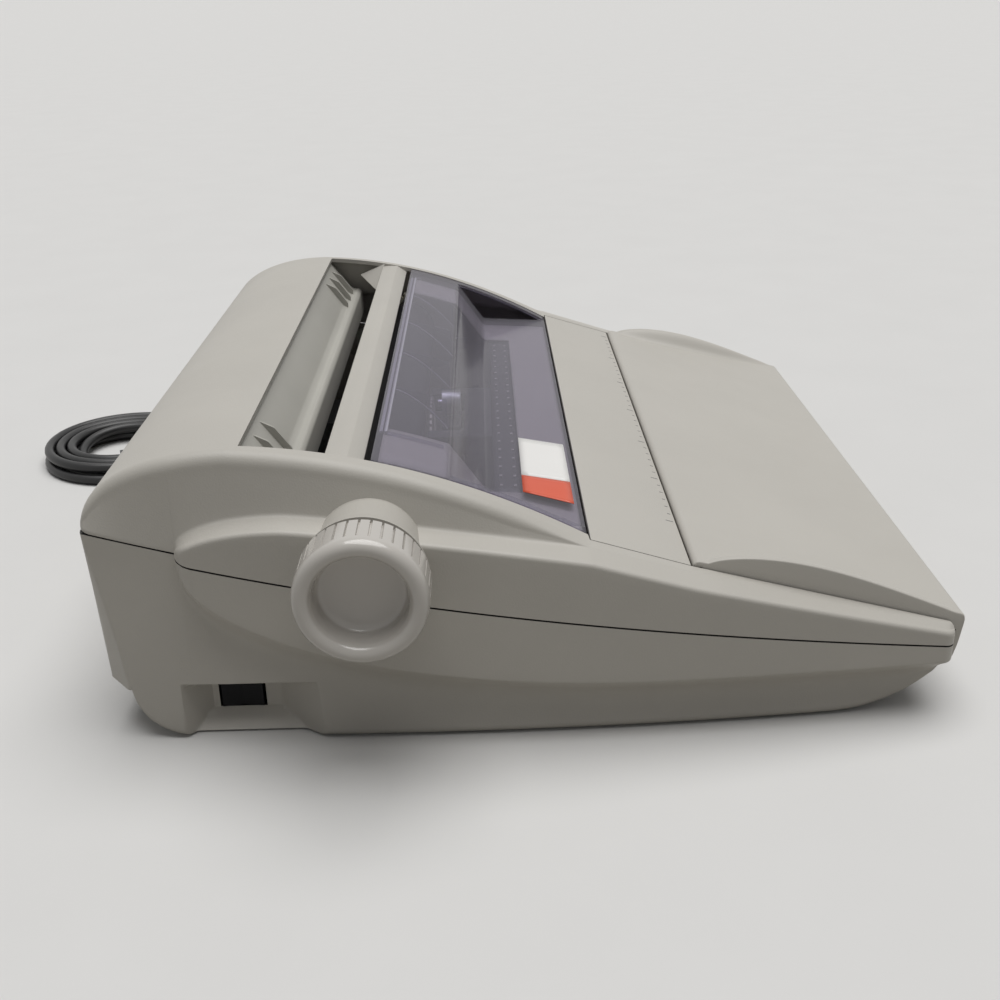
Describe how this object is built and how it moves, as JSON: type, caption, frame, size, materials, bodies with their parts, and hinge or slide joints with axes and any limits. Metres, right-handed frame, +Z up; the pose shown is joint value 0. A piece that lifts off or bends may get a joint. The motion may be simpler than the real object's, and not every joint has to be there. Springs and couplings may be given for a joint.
{
  "type": "electronic typewriter",
  "caption": "Portable electronic typewriter in a sloped two-part case, with a hinged keyboard cover, a smoky window over a print-wheel carriage, and a side platen knob.",
  "frame": {"origin": "on the table, under the middle of the box round the machine without its cord", "axes": "+Z up, -Y towards the operator and the keyboard, +X to the operator's right"},
  "size_m": [0.4702, 0.5072, 0.1303],
  "materials": {
    "case_plastic": "fine spark-eroded grain, warm light grey",
    "cover_plastic": "fine grain, warm light grey",
    "smoke": "smoky translucent acrylic",
    "knob_plastic": "smooth pale grey",
    "rubber": "matte black rubber",
    "steel": "bright drawn steel",
    "plate": "zinc plated sheet",
    "motor": "grey painted can",
    "nylon": "natural nylon",
    "black_plastic": "black moulded",
    "wheel_plastic": "pale moulded",
    "circuit": "green laminate",
    "core": "lacquered laminations",
    "key_plastic": "pale moulded",
    "cord": "black cord sheath"
  },
  "bodies": {
    "case": {"upper_case": "case_plastic", "lower_case": "case_plastic", "knob_collar": "case_plastic", "slot_bar": "case_plastic", "paper_chute": "case_plastic", "deck_panel": "case_plastic", "rubber_feet": "rubber", "chassis_plate": "plate", "left_side_plate": "plate", "right_side_plate": "plate", "platen_bushes": "nylon", "line_feed_motor": "motor", "paper_pan": "black_plastic", "guide_shaft": "steel", "guide_rail": "plate", "carriage_belt": "rubber", "idler_post": "steel", "carriage_motor": "motor", "main_board": "circuit", "transformer": "core", "keyboard_tray": "black_plastic", "key_board": "circuit", "switch_body": "black_plastic", "strain_relief": "cord", "power_cord": "cord", "cord_coil": "cord", "power_plug": "cord"},
    "cover": {"keyboard_cover": "cover_plastic"},
    "window": {"smoky_window": "smoke"},
    "platen": {"platen_roller": "rubber", "platen_shaft": "steel", "platen_knob": "knob_plastic", "platen_gear": "nylon"},
    "pinion": {"line_feed_pinion": "nylon"},
    "feed": {"feed_rollers": "rubber", "feed_roller_shaft": "steel"},
    "carriage": {"carriage": "black_plastic", "wheel_motor": "motor", "hammer_body": "motor", "ribbon_cassette": "black_plastic"},
    "wheel": {"print_wheel": "wheel_plastic"},
    "hammer": {"print_hammer": "steel"},
    "drive": {"drive_pulley": "nylon"},
    "idler": {"idler_pulley": "nylon"},
    "number_row": {"number_keys": "key_plastic"},
    "upper_row": {"upper_letter_keys": "key_plastic"},
    "middle_row": {"middle_letter_keys": "key_plastic"},
    "lower_row": {"lower_letter_keys": "key_plastic"},
    "space": {"space_bar": "key_plastic"},
    "rocker": {"power_rocker": "black_plastic"}
  },
  "joints": [
    {"name": "keyboard_cover_hinge", "type": "hinge", "parent": "case", "child": "cover", "pos_m": [0.0195, -0.06944, 0.07226], "axis": [-1, 0, 0], "range_deg": [0, 95]},
    {"name": "window_hinge", "type": "hinge", "parent": "case", "child": "window", "pos_m": [0.0195, 0.06215, 0.11532], "axis": [-1, 0, 0], "range_deg": [0, 80]},
    {"name": "platen_turn", "type": "hinge", "parent": "case", "child": "platen", "pos_m": [0.0195, 0.06735, 0.0885], "axis": [1, 0, 0], "continuous": true},
    {"name": "pinion_turn", "type": "hinge", "parent": "case", "child": "pinion", "pos_m": [0.0195, 0.05098, 0.07213], "axis": [1, 0, 0], "continuous": true},
    {"name": "feed_roller_turn", "type": "hinge", "parent": "case", "child": "feed", "pos_m": [0.0195, 0.07157, 0.06457], "axis": [1, 0, 0], "continuous": true},
    {"name": "carriage_slide", "type": "slide", "parent": "case", "child": "carriage", "axis": [1, 0, 0], "range_m": [-0.11, 0.11]},
    {"name": "print_wheel_turn", "type": "hinge", "parent": "carriage", "child": "wheel", "pos_m": [0.0195, 0.04835, 0.0575], "axis": [0, 1, 0], "continuous": true},
    {"name": "hammer_stroke", "type": "slide", "parent": "carriage", "child": "hammer", "axis": [0, 1, 0], "range_m": [0, 0.0025], "stiffness_N_per_m": 200, "springref_m": -0.001},
    {"name": "drive_pulley_turn", "type": "hinge", "parent": "case", "child": "drive", "pos_m": [0.171, -0.01135, 0.034], "axis": [0, 0, 1], "range_deg": [-1100, 1100]},
    {"name": "idler_pulley_turn", "type": "hinge", "parent": "case", "child": "idler", "pos_m": [-0.132, -0.01135, 0.034], "axis": [0, 0, 1], "range_deg": [-1100, 1100]},
    {"name": "number_keys_press", "type": "slide", "parent": "case", "child": "number_row", "axis": [0, 0.2384, -0.9712], "range_m": [0, 0.0035], "stiffness_N_per_m": 600, "springref_m": -0.0025},
    {"name": "upper_keys_press", "type": "slide", "parent": "case", "child": "upper_row", "axis": [0, 0.2384, -0.9712], "range_m": [0, 0.0035], "stiffness_N_per_m": 600, "springref_m": -0.0025},
    {"name": "middle_keys_press", "type": "slide", "parent": "case", "child": "middle_row", "axis": [0, 0.2384, -0.9712], "range_m": [0, 0.0035], "stiffness_N_per_m": 600, "springref_m": -0.0025},
    {"name": "lower_keys_press", "type": "slide", "parent": "case", "child": "lower_row", "axis": [0, 0.2384, -0.9712], "range_m": [0, 0.0035], "stiffness_N_per_m": 600, "springref_m": -0.0025},
    {"name": "space_bar_press", "type": "slide", "parent": "case", "child": "space", "axis": [0, 0.2384, -0.9712], "range_m": [0, 0.0035], "stiffness_N_per_m": 600, "springref_m": -0.0025},
    {"name": "power_rocker_tilt", "type": "hinge", "parent": "case", "child": "rocker", "pos_m": [-0.14971, 0.12865, 0.0144], "axis": [0, 0, 1], "range_deg": [-8, 8]}
  ],
  "couplings": [
    {"joint": "pinion_turn", "follows": "platen_turn", "ratio": -2.8333},
    {"joint": "feed_roller_turn", "follows": "platen_turn", "ratio": -2},
    {"joint": "drive_pulley_turn", "follows": "carriage_slide", "rad_per_m": -158.73},
    {"joint": "idler_pulley_turn", "follows": "carriage_slide", "rad_per_m": -158.73}
  ]
}
